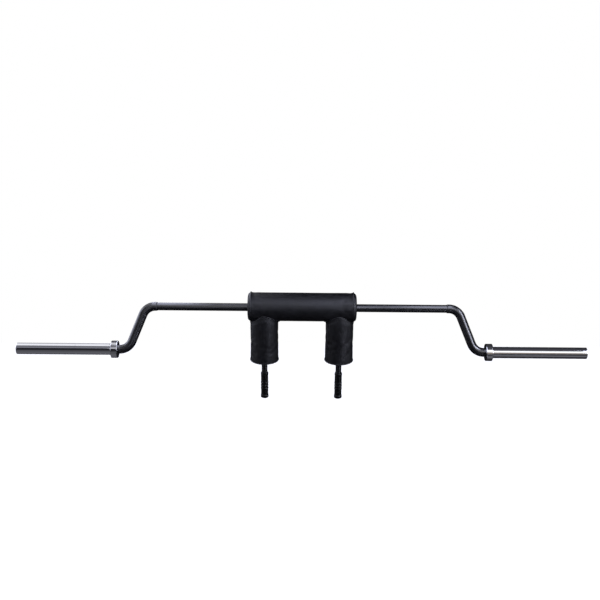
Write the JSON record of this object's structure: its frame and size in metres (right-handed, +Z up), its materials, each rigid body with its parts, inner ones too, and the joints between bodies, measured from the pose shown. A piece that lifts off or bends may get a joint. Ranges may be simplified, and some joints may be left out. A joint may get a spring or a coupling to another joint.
{
  "type": "safety squat bar",
  "caption": "Padded safety squat bar with a straight centre tube, dropped ends, rotating chrome plate sleeves and handles that hang forward through foam pads.",
  "frame": {"origin": "middle of the centre tube, on its axis, where a rack holds the bar", "axes": "+X along the bar to the right as the picture shows it, +Z up, +Y back, away from the camera, to where the handles lean"},
  "size_m": [2.438, 0.2265, 0.4711],
  "materials": {
    "black_paint": "semi-gloss black powder coat",
    "bare_steel": "bare turned steel",
    "chrome": "bright chrome plate",
    "bronze": "sintered bronze",
    "black_leatherette": "matte black leatherette",
    "piping_cord": "satin black leatherette over cord",
    "grey_foam": "open-cell foam",
    "black_tape": "black loop tape",
    "black_rubber": "moulded black rubber",
    "cap_paint": "satin black paint"
  },
  "bodies": {
    "frame": {"center_tube": "black_paint", "center_foam": "grey_foam", "center_cover": "black_leatherette", "center_loop_tape": "black_tape", "center_flap": "black_leatherette", "center_panel_left": "black_leatherette", "center_panel_right": "black_leatherette", "center_piping_left": "piping_cord", "center_piping_right": "piping_cord", "left_handle_tube": "black_paint", "left_handle_foam": "grey_foam", "left_handle_cover": "black_leatherette", "left_handle_panel": "black_leatherette", "left_handle_piping": "piping_cord", "left_handle_loop_tape": "black_tape", "left_handle_flap": "black_leatherette", "left_grip": "black_rubber", "left_camber_tube": "black_paint", "left_spindle": "black_paint", "left_thrust_washer": "bare_steel", "left_retaining_washer": "bare_steel", "left_snap_ring": "bare_steel", "right_handle_tube": "black_paint", "right_handle_foam": "grey_foam", "right_handle_cover": "black_leatherette", "right_handle_panel": "black_leatherette", "right_handle_piping": "piping_cord", "right_handle_loop_tape": "black_tape", "right_handle_flap": "black_leatherette", "right_grip": "black_rubber", "right_camber_tube": "black_paint", "right_spindle": "black_paint", "right_thrust_washer": "bare_steel", "right_retaining_washer": "bare_steel", "right_snap_ring": "bare_steel"},
    "left_sleeve_assembly": {"left_sleeve": "chrome", "left_plate_collar": "chrome", "left_inner_bushing": "bronze", "left_outer_bushing": "bronze", "left_end_cap": "cap_paint"},
    "right_sleeve_assembly": {"right_sleeve": "chrome", "right_plate_collar": "chrome", "right_inner_bushing": "bronze", "right_outer_bushing": "bronze", "right_end_cap": "cap_paint"}
  },
  "joints": [
    {"name": "left_sleeve_spin", "type": "hinge", "parent": "frame", "child": "left_sleeve_assembly", "pos_m": [-1, 0, -0.185], "axis": [1, 0, 0], "continuous": true},
    {"name": "right_sleeve_spin", "type": "hinge", "parent": "frame", "child": "right_sleeve_assembly", "pos_m": [1, 0, -0.185], "axis": [1, 0, 0], "continuous": true}
  ]
}
